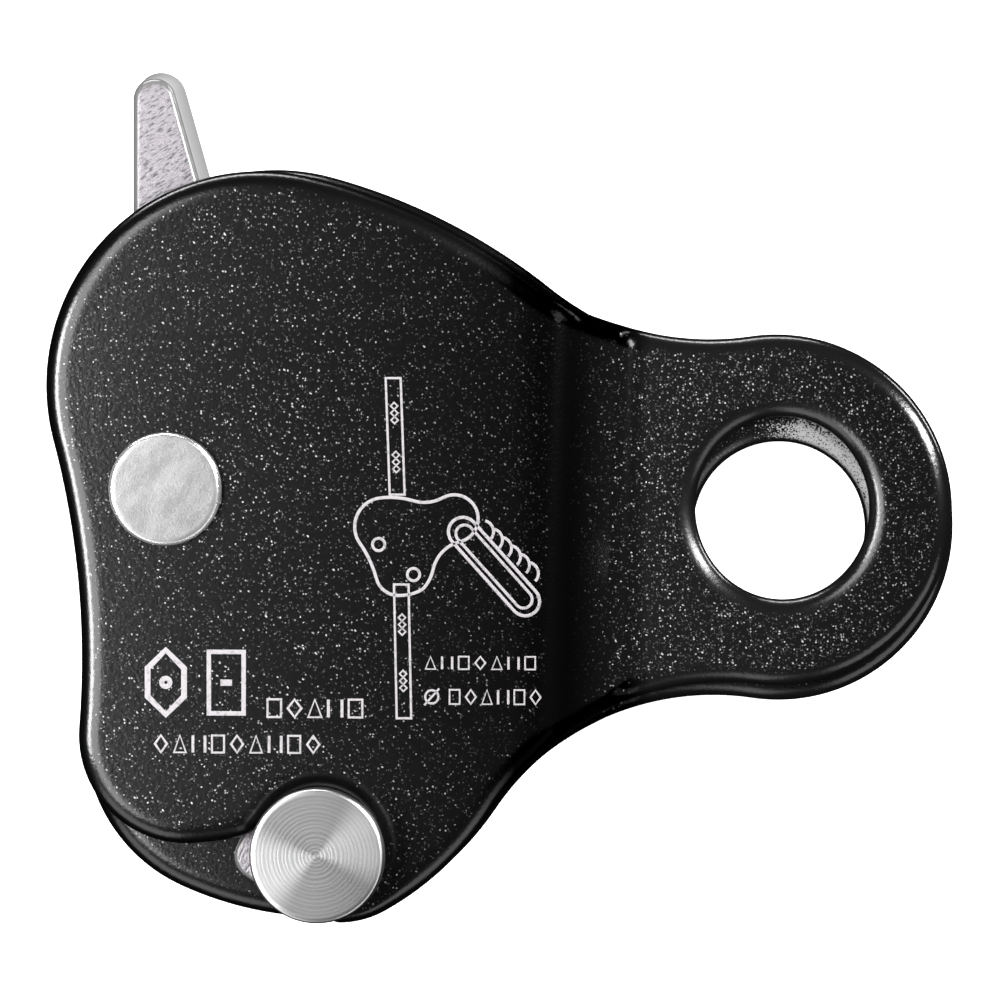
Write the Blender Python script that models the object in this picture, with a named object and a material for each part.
"""Rope grab (ascender) for 8 to 13 mm rope: two side plates, a sprung cam with a lever, a fixed anvil.

It lies on its back plate. X runs from the cam to the carabiner eye, Y towards the lever, Z out of the
front plate. Shapes are worked out in millimetres from the cam axle, at the back plate's rear face,
and MM turns them into metres. The whole assembly is then centred over the origin.
"""

import math

import bmesh
import bpy
from mathutils import Vector
from mathutils.geometry import tessellate_polygon

MM = 0.001

# Side plates
PLATE = 3.0  # thickness
GAP = 15.0  # clear space between the plates, for 13 mm rope
EYE_CLEARANCE = 0.3  # between the two plates where they meet at the eye
EDGE = 1.35  # radius of the plates' rounded edges
FRONT = PLATE + GAP  # underside of the front plate
JOG = (GAP - EYE_CLEARANCE) / 2  # how far each plate steps in towards the middle
JOG_START = 45.0  # from the cam axle, along the line to the eye
JOG_SLOPE = math.radians(50)
BEND_RADIUS = 5.0  # at mid thickness
BEND_STEPS = 4
OPEN_PLAY = 1.5  # degrees that the closed front plate stands open, by its play
RECESS = 0.25  # of every rivet and pin end below the back plate's rear face
RUNNING = 0.3  # clearance round each shaft and rivet

# Lobes of the plates' outline: centre x, centre y, radius
EYE = (72.9, -4.6, 21.2)
SHOULDER = (11.6, 12.0, 25.9)
HEEL = (8.1, -30.9, 20.0)
TOE = (19.7, -41.5, 11.3)
TOP_RADIUS = 73.3
TOP_TURN = math.radians(75)
NECK_TOP_HOLLOW = 34.2
NECK_LOW_HOLLOW = 32.7
LEFT_HOLLOW = 102.6
SOLE_RADIUS = 42.4
FLANK_RADIUS = 36.4
FLANK_TURN = math.radians(117.6)

# Each plate's eye: centre x, centre y, radius across, and its height over its width
BACK_BORE = (73.1, -4.9, 10.3, 1.0)
FRONT_BORE = (73.6, -4.35, 10.45, 1.05)

# Front plate's cut-away lower left corner and its notch for the button
SWEEP = 42.9  # radius about the cam axle that passes inside the button's neck
FRONT_HEEL = (1.5, -29.9, 13.0)
CORNER_RADIUS = 7.0
CORNER_ANGLE = math.radians(-80.4)
NOTCH_RADIUS = 6.8
HOOK_RADIUS = 1.5
HOOK_ANGLE = math.radians(-91.0)

# Cam axle and what turns on it
AXLE = 4.0
AXLE_HEAD = 6.8
AXLE_TOP = PLATE + GAP + PLATE + 1.45
BUSHING = (4.3, 6.0)
PLATE_BUSHING = (4.3, 5.3)
CAM_LOW, CAM_HIGH = 4.1, 16.6
HUB = (0.0, 0.0, 10.3)
SPRING_POCKET = (8.8, 10.2)  # radius, and height of its floor
COUNTERBORE = (6.2, 1.6)  # radius and depth in the back plate, round the axle's closed end
THRUST_WASHER = 0.4  # thickness, front
WAVE = 0.1  # height of the wave washer's waves
SPRING_FOOT = (7.5, 0.0)
SPRING_WIRE = 0.5
SPRING_TURNS = 3.75

# Cam nose, lever and their limits
ROPE_ANGLE = math.radians(-26.8)  # from the cam axle, square to the rope
NOSE_REACH = 15.2
NOSE_RADIUS = 6.4
NOSE_ANGLE = ROPE_ANGLE - math.radians(25)
RIDGE_DEPTH = 0.45
RIDGE_STEP = math.radians(13)
RIDGES = 7
LEVER_ROOT = (2.0, 17.1, 6.65)
LEVER_TIP = (-2.1, 46.6, 2.6)
LEVER_HIGH = 13.4
LEVER_EDGE = 0.8
LEVER_DRAFT = math.tan(math.radians(3.5))
STRAIGHT = 4000.0  # radius of an edge that is straight to the eye

# Anvil
ANVIL_LOW, ANVIL_HIGH = PLATE + 0.3, FRONT - 0.3
ANVIL_FACE = 26.8  # from the cam axle, square to the rope
ANVIL_NOSE = (10.8, -44.4, 2.9)
ANVIL_BOSS = 7.7  # round the button
ANVIL_END_RADIUS = 3.0
ANVIL_END_ALONG = 10.0
ANVIL_RIVETS = {"lower": (34.0, -14.0), "upper": (32.5, 3.0)}  # square to the rope, and along it
RIVET = (2.2, 3.6)  # shank and countersunk head
RIVET_SEAT = 1.4

# Button
POST = (18.64, -43.81)
BUTTON = 8.1
BUTTON_LOW, BUTTON_HIGH = 23.7, 26.3
NECK = 3.3
COLLAR = (3.55, 4.2)
COLLAR_LOW, COLLAR_HIGH = 16.95, 20.4
FLANGE_LOW, FLANGE_HIGH = 15.9, 16.7  # on the button, under its collar
STEM = 2.2
STEM_END = 2.9
CLIP_GROOVE = (3.9, 4.7)
BORE = 4.6
CLIP_BORE = 4.4
BORE_FLOOR = (4.85, 6.6)
SPRING_LOW, SPRING_HIGH = 7.3, 15.6

# Stop pin
STOP_PIN = (-7.5, 20.0)
STOP_PIN_RADIUS = 1.8
STOP_PIN_SHANK = 1.3  # in the back plate
STOP_PIN_TOP = 12.6

SMOOTH_ANGLE = math.radians(32)


# ---------------------------------------------------------------- scene and materials


def clear_scene():
    for obj in list(bpy.data.objects):
        bpy.data.objects.remove(obj)


def material(name, colour, metallic, roughness):
    made = bpy.data.materials.new(name)
    made.use_nodes = True
    shader = made.node_tree.nodes["Principled BSDF"]
    shader.inputs["Base Color"].default_value = (*colour, 1.0)
    shader.inputs["Metallic"].default_value = metallic
    shader.inputs["Roughness"].default_value = roughness
    return made


def powder_coat():
    return material("black_powder_coat", (0.016, 0.016, 0.017), 0.0, 0.45)


def cast_steel():
    return material("cast_stainless", (0.62, 0.61, 0.62), 1.0, 0.42)


def turned_steel():
    return material("turned_stainless", (0.66, 0.66, 0.67), 1.0, 0.28)


def spring_steel():
    return material("spring_wire", (0.45, 0.45, 0.46), 1.0, 0.35)


def bronze():
    return material("bearing_bronze", (0.52, 0.33, 0.14), 1.0, 0.4)


def add_object(name, bm, finish, root, place=(0, 0), turn=0.0):
    """An object from a bmesh in millimetres about its own axis, standing at place on the root."""
    bmesh.ops.scale(bm, vec=(MM, MM, MM), verts=bm.verts)
    mesh = bpy.data.meshes.new(name)
    bm.to_mesh(mesh)
    bm.free()
    mesh.shade_smooth()
    mesh.set_sharp_from_angle(angle=SMOOTH_ANGLE)
    mesh.materials.append(finish)
    obj = bpy.data.objects.new(name, mesh)
    bpy.context.scene.collection.objects.link(obj)
    obj.parent = root
    obj.location = (place[0] * MM, place[1] * MM, 0.0)
    obj.rotation_euler.z = turn
    return obj


# ---------------------------------------------------------------- outlines of tangent arcs
# An arc is (centre x, centre y, radius), with its radius below zero where the outline is hollow.
# Outlines run anticlockwise.


def along(angle, reach):
    return reach * math.cos(angle), reach * math.sin(angle)


def from_rope_frame(square, up):
    """A place from its distance square to the rope and its distance along the rope."""
    x, y = along(ROPE_ANGLE, square)
    dx, dy = along(ROPE_ANGLE + math.pi / 2, up)
    return x + dx, y + dy


def joining_arc(first, second, radius, deep=False):
    """The arc that is tangent to two lobes: hollow if its radius is below zero. A deep hollow is more than
    half a circle."""
    reach_first = abs(first[2] - radius)
    reach_second = abs(second[2] - radius)
    dx = second[0] - first[0]
    dy = second[1] - first[1]
    apart = math.hypot(dx, dy)
    ahead = (apart**2 + reach_first**2 - reach_second**2) / (2 * apart)
    aside = math.sqrt(reach_first**2 - ahead**2) * (1 if radius < 0 and not deep else -1)
    x = first[0] + (dx * ahead + dy * aside) / apart
    y = first[1] + (dy * ahead - dx * aside) / apart
    return x, y, radius


def inner_arc(outer, angle, radius):
    """A smaller arc inside an outer one, tangent to it at an angle."""
    dx, dy = along(angle, outer[2] - radius)
    return outer[0] + dx, outer[1] + dy, radius


def touch_point(first, second):
    """Where two tangent arcs meet, on the line through their centres."""
    share = first[2] / (first[2] - second[2])
    return first[0] + share * (second[0] - first[0]), first[1] + share * (second[1] - first[1])


def outline(arcs, step):
    """(centre, signed radius, angle) of each point round a closed chain of tangent arcs."""
    points = []
    for i, (x, y, radius) in enumerate(arcs):
        start = touch_point(arcs[i - 1], arcs[i])
        end = touch_point(arcs[i], arcs[(i + 1) % len(arcs)])
        begin = math.atan2(start[1] - y, start[0] - x)
        sweep = math.atan2(end[1] - y, end[0] - x) - begin
        sweep %= 2 * math.pi
        if radius < 0:
            sweep -= 2 * math.pi
        chord = max(step, math.sqrt(0.3 * abs(radius)))
        count = max(2, round(abs(sweep * radius) / chord)) if abs(radius) < STRAIGHT else 1
        points += [(x, y, radius, begin + sweep * k / count) for k in range(count)]
    return points


def ring(points, z, inset=0.0):
    """The outline at a height, drawn in by inset."""
    return [
        (x + abs(radius - inset) * math.cos(angle), y + abs(radius - inset) * math.sin(angle), z)
        for x, y, radius, angle in points
    ]


def circle(place, radius, z, count, tall=1.0):
    turn = 2 * math.pi / count
    return [
        (place[0] + radius * math.cos(k * turn), place[1] + radius * tall * math.sin(k * turn), z)
        for k in range(count)
    ]


# ---------------------------------------------------------------- solids


def rounded_levels(low, high, edge, steps=2):
    """(height, inset) up the side of a slab whose two rims are rounded."""
    quarter = [math.pi / 2 * k / steps for k in range(steps + 1)]
    lower = [(low + edge * (1 - math.sin(a)), edge * (1 - math.cos(a))) for a in reversed(quarter)]
    upper = [(high - edge * (1 - math.sin(a)), edge * (1 - math.cos(a))) for a in quarter]
    return lower + upper


def bore(place, steps, count=24, through=True, tall=1.0):
    """A round hole: (radius, height) from its lower mouth upwards."""
    return {"rings": [circle(place, radius, z, count, tall) for radius, z in steps], "through": through}


def join_rings(bm, lower, upper, outward=True):
    for i in range(len(lower)):
        corners = [lower[i - 1], lower[i], upper[i], upper[i - 1]]
        bm.faces.new(corners if outward else corners[::-1])


def cap(bm, loops):
    """A flat face inside the first loop and outside the others."""
    flat = [[Vector((v.co.x, v.co.y, 0.0)) for v in loop] for loop in loops]
    verts = [v for loop in loops for v in loop]
    for corners in tessellate_polygon(flat):
        bm.faces.new([verts[i] for i in corners])


def slab(rings, bores=()):
    """A closed solid from rings stacked upwards, with round holes through it or into its underside."""
    bm = bmesh.new()
    sides = [[bm.verts.new(p) for p in points] for points in rings]
    for lower, upper in zip(sides, sides[1:]):
        join_rings(bm, lower, upper)
    bottoms, tops = [sides[0]], [sides[-1]]
    for hole in bores:
        walls = [[bm.verts.new(p) for p in points] for points in hole["rings"]]
        for lower, upper in zip(walls, walls[1:]):
            join_rings(bm, lower, upper, outward=False)
        bottoms.append(walls[0])
        if hole["through"]:
            tops.append(walls[-1])
        else:
            bm.faces.new(walls[-1][::-1])
    cap(bm, bottoms)
    cap(bm, tops)
    bmesh.ops.recalc_face_normals(bm, faces=bm.faces)
    return bm


def turned(profile, count=32):
    """A solid turned about Z from (radius, height) points, running up its outer side and closed on itself
    where it has a bore, or from the axis back to the axis where it has none."""
    bm = bmesh.new()
    rows = []
    for radius, z in profile:
        if radius == 0:
            rows.append([bm.verts.new((0, 0, z))])
        else:
            rows.append([bm.verts.new(p) for p in circle((0, 0), radius, z, count)])
    closed = profile[0][0] > 0
    following = rows[1:] + rows[:1] if closed else rows[1:]
    for lower, upper in zip(rows, following):
        for i in range(count):
            corners = [lower[(i - 1) % len(lower)], lower[i % len(lower)]]
            corners += [upper[i % len(upper)], upper[(i - 1) % len(upper)]]
            bm.faces.new(list(dict.fromkeys(corners)))
    return bm


def washer(inner, outer, low, high, count=32):
    return turned([(inner, low), (outer, low), (outer, high), (inner, high)], count)


def tube(path, radius, sides=8):
    """A closed tube along a list of points."""
    bm = bmesh.new()
    points = [Vector(p) for p in path]
    rows = []
    across = (points[1] - points[0]).orthogonal()
    for i, point in enumerate(points):
        ahead = (points[min(i + 1, len(points) - 1)] - points[max(i - 1, 0)]).normalized()
        across = (across - ahead * across.dot(ahead)).normalized()
        other = ahead.cross(across)
        turn = 2 * math.pi / sides
        rows.append(
            [
                bm.verts.new(point + radius * (math.cos(k * turn) * across + math.sin(k * turn) * other))
                for k in range(sides)
            ]
        )
    for lower, upper in zip(rows, rows[1:]):
        join_rings(bm, lower, upper)
    bm.faces.new(rows[0][::-1])
    bm.faces.new(rows[-1])
    return bm


def coil(radius, low, high, turns, per_turn):
    count = round(turns * per_turn)
    return [
        (
            radius * math.cos(2 * math.pi * k / per_turn),
            radius * math.sin(2 * math.pi * k / per_turn),
            low + (high - low) * k / count,
        )
        for k in range(count + 1)
    ]


# ---------------------------------------------------------------- side plates


def upper_arcs():
    """The part of the outline that both plates share, from the eye round the top to the left side."""
    dx, dy = along(TOP_TURN, SHOULDER[2] - TOP_RADIUS)
    top = (SHOULDER[0] + dx, SHOULDER[1] + dy, TOP_RADIUS)
    return [EYE, joining_arc(EYE, top, -NECK_TOP_HOLLOW), top, SHOULDER]


def lower_right_arcs():
    dx, dy = along(FLANK_TURN, FLANK_RADIUS - TOE[2])
    flank = (TOE[0] + dx, TOE[1] + dy, FLANK_RADIUS)
    return [TOE, flank, joining_arc(flank, EYE, -NECK_LOW_HOLLOW)]


def back_outline():
    left = joining_arc(SHOULDER, HEEL, -LEFT_HOLLOW)
    sole = joining_arc(HEEL, TOE, SOLE_RADIUS)
    return upper_arcs() + [left, HEEL, sole] + lower_right_arcs()


def front_outline():
    """As the back plate's, but cut away inside the button's sweep, with a notch that hooks round its neck."""
    sweep = (0.0, 0.0, SWEEP)
    heel_angle = math.atan2(FRONT_HEEL[1], FRONT_HEEL[0])
    heel = inner_arc(sweep, heel_angle, FRONT_HEEL[2])
    corner = inner_arc(sweep, CORNER_ANGLE, CORNER_RADIUS)
    hook = inner_arc(TOE, HOOK_ANGLE, HOOK_RADIUS)
    left = joining_arc(SHOULDER, heel, -LEFT_HOLLOW)
    notch = joining_arc(corner, hook, -NOTCH_RADIUS, deep=True)
    return upper_arcs() + [left, heel, sweep, corner, notch, hook] + lower_right_arcs()


def jog_stations():
    """Distances along the line to the eye at which the bends start, turn and end."""
    arc = BEND_RADIUS * math.sin(JOG_SLOPE)
    rise = JOG - 2 * BEND_RADIUS * (1 - math.cos(JOG_SLOPE))
    second = JOG_START + arc + rise / math.tan(JOG_SLOPE)
    steps = [JOG_SLOPE * k / BEND_STEPS for k in range(BEND_STEPS + 1)]
    first_bend = [JOG_START + BEND_RADIUS * math.sin(a) for a in steps]
    second_bend = [second + arc - BEND_RADIUS * math.sin(a) for a in reversed(steps)]
    return first_bend + second_bend


def jog_at(distance):
    """(height, slope angle) of the plate's middle at a distance along the line to the eye."""
    stations = jog_stations()
    end = stations[-1]
    arc = BEND_RADIUS * math.sin(JOG_SLOPE)
    if distance <= JOG_START:
        return 0.0, 0.0
    if distance >= end:
        return JOG, 0.0
    if distance < JOG_START + arc:
        angle = math.asin((distance - JOG_START) / BEND_RADIUS)
        return BEND_RADIUS * (1 - math.cos(angle)), angle
    if distance > end - arc:
        angle = math.asin((end - distance) / BEND_RADIUS)
        return JOG - BEND_RADIUS * (1 - math.cos(angle)), angle
    first = BEND_RADIUS * (1 - math.cos(JOG_SLOPE))
    return first + (distance - JOG_START - arc) * math.tan(JOG_SLOPE), JOG_SLOPE


def bend_plate(bm, middle, inward):
    """Steps the plate towards the other one between its body and its eye."""
    lean = math.atan2(EYE[1], EYE[0])
    forward = Vector((math.cos(lean), math.sin(lean), 0.0))
    for station in jog_stations():
        everything = bm.verts[:] + bm.edges[:] + bm.faces[:]
        bmesh.ops.bisect_plane(bm, geom=everything, dist=1e-5, plane_co=forward * station, plane_no=forward)
    for vert in bm.verts:
        height, slope = jog_at(vert.co.dot(forward))
        offset = vert.co.z - middle
        vert.co -= forward * (inward * offset * math.sin(slope))
        vert.co.z = middle + inward * height + offset * math.cos(slope)


def plate_solid(arcs, low, eye, bores, inward):
    points = outline(arcs, 1.1)
    levels = rounded_levels(low, low + PLATE, EDGE)
    rings = [ring(points, z, inset) for z, inset in levels]
    x, y, radius, tall = eye
    eye_steps = [(radius + inset, z) for z, inset in levels]
    bm = slab(rings, [bore((x, y), eye_steps, count=44, tall=tall)] + bores)
    bend_plate(bm, low + PLATE / 2, inward)
    return bm


def plain_hole(place, radius, count):
    """A hole through the back plate."""
    return bore(place, [(radius, 0), (radius, PLATE)], count)


def stepped_hole(place, wide, depth, narrow, count):
    """A hole through the back plate that is wider at its rear face."""
    return bore(place, [(wide, 0), (wide, depth), (narrow, depth), (narrow, PLATE)], count)


def back_plate(root):
    bores = [
        stepped_hole((0, 0), *COUNTERBORE, AXLE + RUNNING, 24),
        plain_hole(POST, CLIP_BORE, 24),
        plain_hole(STOP_PIN, STOP_PIN_SHANK + RUNNING, 16),
        plain_hole(SPRING_FOOT, SPRING_WIRE + RUNNING, 12),
    ]
    for place in ANVIL_RIVETS.values():
        shank, head = RIVET
        wide, narrow = head + RUNNING, shank + RUNNING
        bores.append(stepped_hole(from_rope_frame(*place), wide, RIVET_SEAT, narrow, 16))
    solid = plate_solid(back_outline(), 0.0, BACK_BORE, bores, 1)
    return add_object("back_plate", solid, powder_coat(), root)


def front_plate(root):
    radius = PLATE_BUSHING[1] + RUNNING
    pivot = bore((0, 0), [(radius, FRONT), (radius, FRONT + PLATE)])
    solid = plate_solid(front_outline(), FRONT, FRONT_BORE, [pivot], -1)
    return add_object("front_plate", solid, powder_coat(), root, turn=math.radians(OPEN_PLAY))


# ---------------------------------------------------------------- cam


def cam_body():
    nose = (*along(NOSE_ANGLE, NOSE_REACH), NOSE_RADIUS)
    corners = [nose, LEVER_ROOT, HUB]
    arcs = []
    for i, lobe in enumerate(corners):
        arcs += [lobe, joining_arc(lobe, corners[(i + 1) % 3], STRAIGHT)]
    points = outline(arcs, 0.45)
    first_ridge = ROPE_ANGLE - 2.5 * RIDGE_STEP
    gripping = []
    for x, y, radius, angle in points:
        phase = (angle - first_ridge) / RIDGE_STEP
        on_face = radius == NOSE_RADIUS and 0 < phase < RIDGES
        cut = RIDGE_DEPTH * (1 - math.cos(2 * math.pi * phase)) / 2 if on_face else 0.0
        gripping.append((x, y, radius - cut, angle))
    levels = rounded_levels(CAM_LOW, CAM_HIGH, 0.5, steps=1)
    pocket, floor = SPRING_POCKET
    narrow = BUSHING[1] + RUNNING
    steps = [(pocket, CAM_LOW), (pocket, floor), (narrow, floor), (narrow, CAM_HIGH)]
    return slab([ring(gripping, z, inset) for z, inset in levels], [bore((0, 0), steps, 32)])


def lever():
    """The lever, drafted as a casting is: it widens from its front face to its back."""
    arcs = [LEVER_ROOT, joining_arc(LEVER_ROOT, LEVER_TIP, STRAIGHT)]
    arcs += [LEVER_TIP, joining_arc(LEVER_TIP, LEVER_ROOT, STRAIGHT)]
    points = outline(arcs, 0.9)
    levels = rounded_levels(CAM_LOW, LEVER_HIGH, LEVER_EDGE, steps=3)
    return slab([ring(points, z, inset - (LEVER_HIGH - z) * LEVER_DRAFT) for z, inset in levels])


def cam_lever(root):
    body = add_object("cam_lever", cam_body(), cast_steel(), root)
    arm = add_object("lever_shape", lever(), cast_steel(), root)
    arm.hide_render = True
    arm.display_type = "WIRE"
    joined = body.modifiers.new("lever", "BOOLEAN")
    joined.operation = "UNION"
    joined.object = arm
    return body


# ---------------------------------------------------------------- axle, bushings, washers, springs


def cam_axle(root):
    closed_end = COUNTERBORE[0] - 0.7
    head_low = FRONT + PLATE + 0.2
    profile = [
        (0, RECESS),
        (closed_end - 0.5, RECESS),
        (closed_end, 0.45),
        (closed_end, 0.75),
        (AXLE, 0.75),
        (AXLE, head_low),
        (AXLE_HEAD, head_low),
        (AXLE_HEAD, AXLE_TOP - 0.45),
        (AXLE_HEAD - 0.2, AXLE_TOP - 0.12),
        (AXLE_HEAD - 0.5, AXLE_TOP),
        (0, AXLE_TOP),
    ]
    return add_object("cam_axle", turned(profile, 36), turned_steel(), root)


def round_parts(root):
    """Everything plain and round on the cam axle."""
    steel = turned_steel()
    inner = AXLE + RUNNING
    thrust = CAM_HIGH + 0.2
    add_object("axle_rear_washer", washer(inner, COUNTERBORE[0] - RUNNING, 0.95, 1.4), steel, root)
    add_object("rear_thrust_washer", washer(inner, 6.6, PLATE + 0.2, CAM_LOW - 0.25), steel, root)
    add_object("cam_bushing", washer(*BUSHING, CAM_LOW + 0.1, CAM_HIGH - 0.1), bronze(), root)
    add_object("front_thrust_washer", washer(inner, 9.0, thrust, thrust + THRUST_WASHER), steel, root)
    add_object("plate_bushing", washer(*PLATE_BUSHING, FRONT + 0.1, FRONT + PLATE - 0.1), bronze(), root)


def wave_washer(root):
    """A thin ring with three waves, which holds the front plate where it is swung to."""
    bm = washer(AXLE + 0.4, 7.4, FRONT - 0.6, FRONT - 0.35, count=36)
    for vert in bm.verts:
        vert.co.z += WAVE * math.sin(3 * math.atan2(vert.co.y, vert.co.x))
    return add_object("wave_washer", bm, spring_steel(), root)


def torsion_spring(root):
    """Coils in the cam's pocket, with one foot down in the back plate."""
    radius = SPRING_FOOT[0]
    low, high = CAM_LOW + 0.9, SPRING_POCKET[1] - 0.8
    foot = [(radius, 0.0, 1.0), (radius, 0.0, 2.4), (radius, 0.0, low - 0.7), (radius, 0.35, low - 0.15)]
    path = foot + coil(radius, low, high, SPRING_TURNS, 16)[1:]
    return add_object("torsion_spring", tube(path, SPRING_WIRE, 6), spring_steel(), root)


def cam_stop_pin(root):
    profile = [
        (0, RECESS),
        (STOP_PIN_SHANK, RECESS),
        (STOP_PIN_SHANK, PLATE + 0.2),
        (STOP_PIN_RADIUS, PLATE + 0.2),
        (STOP_PIN_RADIUS, STOP_PIN_TOP - 0.4),
        (STOP_PIN_RADIUS - 0.4, STOP_PIN_TOP),
        (0, STOP_PIN_TOP),
    ]
    return add_object("cam_stop_pin", turned(profile, 20), turned_steel(), root, STOP_PIN)


# ---------------------------------------------------------------- anvil


def anvil(root):
    end = (*from_rope_frame(ANVIL_FACE + ANVIL_END_RADIUS, ANVIL_END_ALONG), ANVIL_END_RADIUS)
    corners = [ANVIL_NOSE, (*POST, ANVIL_BOSS), end]
    arcs = []
    for i, lobe in enumerate(corners):
        arcs += [lobe, joining_arc(lobe, corners[(i + 1) % 3], STRAIGHT)]
    points = outline(arcs, 0.9)
    levels = rounded_levels(ANVIL_LOW, ANVIL_HIGH, 0.6)
    floor, seat = BORE_FLOOR
    narrow = STEM + RUNNING
    steps = [(CLIP_BORE, ANVIL_LOW), (CLIP_BORE, floor), (narrow, floor), (narrow, seat)]
    bores = [bore(POST, steps + [(BORE, seat), (BORE, ANVIL_HIGH)])]
    for place in ANVIL_RIVETS.values():
        hole = RIVET[0] + RUNNING
        bores.append(bore(from_rope_frame(*place), [(hole, ANVIL_LOW), (hole, ANVIL_HIGH)], 16))
    solid = slab([ring(points, z, inset) for z, inset in levels], bores)
    return add_object("anvil", solid, cast_steel(), root)


def anvil_rivets(root):
    shank, head = RIVET
    profile = [
        (0, RECESS),
        (head, RECESS),
        (head, RIVET_SEAT - 0.25),
        (shank, RIVET_SEAT - 0.25),
        (shank, ANVIL_HIGH - 0.1),
        (0, ANVIL_HIGH - 0.1),
    ]
    for which, place in ANVIL_RIVETS.items():
        name = f"anvil_rivet_{which}"
        add_object(name, turned(profile, 20), turned_steel(), root, from_rope_frame(*place))


# ---------------------------------------------------------------- button


def lock_button(root):
    """Disc, neck and stem, turned from one bar."""
    groove_low, groove_high = CLIP_GROOVE
    profile = [
        (0, STEM_END),
        (STEM - 0.4, STEM_END),
        (STEM, STEM_END + 0.4),
        (STEM, groove_low),
        (STEM - 0.6, groove_low),
        (STEM - 0.6, groove_high),
        (STEM, groove_high),
        (STEM, FLANGE_LOW),
        (COLLAR[1], FLANGE_LOW),
        (COLLAR[1], FLANGE_HIGH),
        (NECK, FLANGE_HIGH),
        (NECK, BUTTON_LOW),
        (BUTTON - 0.3, BUTTON_LOW),
        (BUTTON, BUTTON_LOW + 0.3),
        (BUTTON, BUTTON_HIGH - 0.35),
        (BUTTON - 0.12, BUTTON_HIGH - 0.1),
        (BUTTON - 0.35, BUTTON_HIGH),
        (0, BUTTON_HIGH),
    ]
    return add_object("lock_button", turned(profile, 36), turned_steel(), root, POST)


def lock_collar(root):
    """The hardened ring on the neck that the front plate's notch hooks round."""
    return add_object("lock_collar", washer(*COLLAR, COLLAR_LOW, COLLAR_HIGH, 28), turned_steel(), root, POST)


def button_spring(root):
    path = coil(3.4, SPRING_LOW + 0.4, SPRING_HIGH - 0.4, 5.5, 12)
    return add_object("button_spring", tube(path, 0.4, 6), spring_steel(), root, POST)


def spring_seat(root):
    solid = washer(STEM + RUNNING, BORE - RUNNING, BORE_FLOOR[1] + 0.15, SPRING_LOW - 0.2, 24)
    return add_object("spring_seat", solid, turned_steel(), root, POST)


def button_circlip(root):
    """An open ring in the stem's groove, which keeps the button in the anvil."""
    gap = math.radians(35)
    count = 22
    angles = [gap + (2 * math.pi - 2 * gap) * k / count for k in range(count + 1)]
    low, high = CLIP_GROOVE[0] + 0.15, CLIP_GROOVE[1] - 0.15
    outer = [(*along(a, 3.7), low) for a in angles]
    inner = [(*along(a, 1.8), low) for a in reversed(angles)]
    lower = outer + inner
    upper = [(x, y, high) for x, y, _ in lower]
    return add_object("button_circlip", slab([lower, upper]), spring_steel(), root, POST)


# ---------------------------------------------------------------- assembly


def centre_on_box(root):
    """Moves the root so that the origin is under the middle of the assembly's box."""
    bpy.context.view_layer.update()
    graph = bpy.context.evaluated_depsgraph_get()
    corners = []
    for obj in root.children:
        if not obj.hide_render:
            shape = obj.evaluated_get(graph)
            corners += [obj.matrix_world @ vert.co for vert in shape.data.vertices]
    for axis in range(2):
        values = [corner[axis] for corner in corners]
        root.location[axis] = -(min(values) + max(values)) / 2


def main():
    clear_scene()
    root = bpy.data.objects.new("rope_grab", None)
    bpy.context.scene.collection.objects.link(root)
    back_plate(root)
    front_plate(root)
    cam_lever(root)
    cam_axle(root)
    round_parts(root)
    wave_washer(root)
    torsion_spring(root)
    cam_stop_pin(root)
    anvil(root)
    anvil_rivets(root)
    lock_button(root)
    lock_collar(root)
    button_spring(root)
    spring_seat(root)
    button_circlip(root)
    centre_on_box(root)


main()
